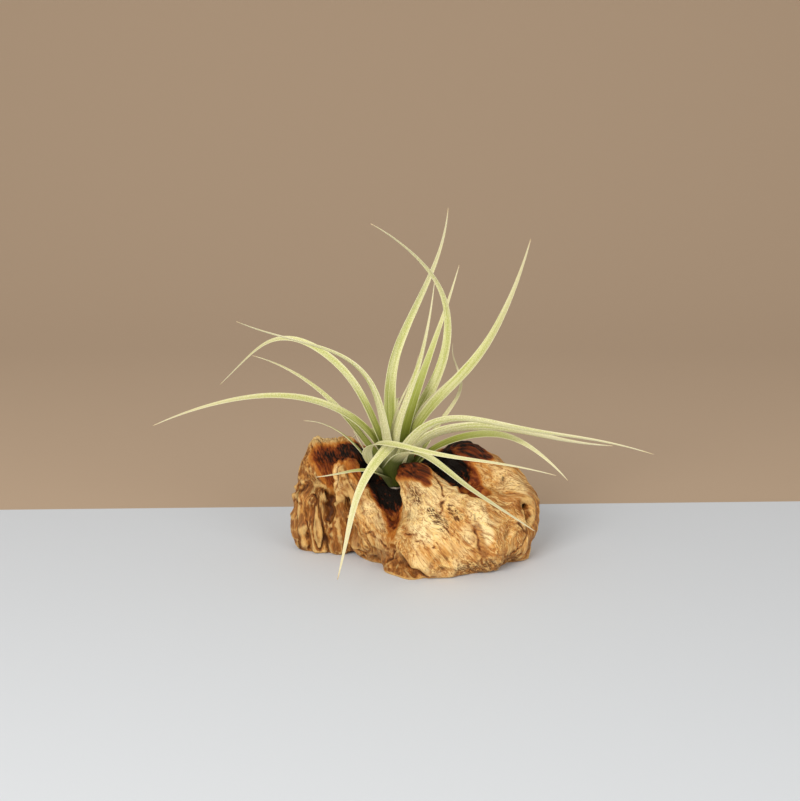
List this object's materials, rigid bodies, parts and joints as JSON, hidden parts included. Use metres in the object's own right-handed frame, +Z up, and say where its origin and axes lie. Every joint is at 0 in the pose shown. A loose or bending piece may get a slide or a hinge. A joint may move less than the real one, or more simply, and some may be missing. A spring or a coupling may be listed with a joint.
{
  "type": "air plant in a driftwood block",
  "caption": "Rosette of long tapering leaves on a short stem, seated in the charred hollow of a weathered driftwood block with a flat foot.",
  "frame": {"origin": "middle of the driftwood's flat foot, on the surface it stands on", "axes": "+X to the right along the block's length, +Y to the back, +Z up"},
  "size_m": [0.3018, 0.1971, 0.2169],
  "materials": {
    "driftwood": "weathered, oiled, charred in its hollows",
    "stem": "dry and fibrous",
    "leaf_green": "satin, finely scaled",
    "leaf_silver": "matt, silvery scaled",
    "leaf_dry": "matt, dry and papery"
  },
  "bodies": {
    "root": {"driftwood": "driftwood", "stem": "stem", "leaf_front_crossing": "leaf_green", "leaf_front_left_short": "leaf_green", "leaf_front_right": "leaf_green", "leaf_front_hanging": "leaf_green", "leaf_right_drooping": "leaf_green", "leaf_left_lower": "leaf_green", "leaf_left_long": "leaf_silver", "leaf_left_short": "leaf_dry", "leaf_left_slim": "leaf_silver", "leaf_left_front": "leaf_silver", "leaf_right_long": "leaf_silver", "leaf_right_broad": "leaf_silver", "leaf_back_kinked": "leaf_dry", "leaf_back_thin": "leaf_dry", "leaf_left_hooked": "leaf_silver", "leaf_upright_right": "leaf_green", "leaf_upright_curled": "leaf_green", "leaf_upright_tall": "leaf_green", "leaf_upright_front": "leaf_silver", "leaf_upright_inner": "leaf_green", "leaf_heart": "leaf_dry", "leaf_back_left": "leaf_green", "leaf_back_middle": "leaf_silver", "leaf_back_right": "leaf_green"}
  },
  "joints": []
}
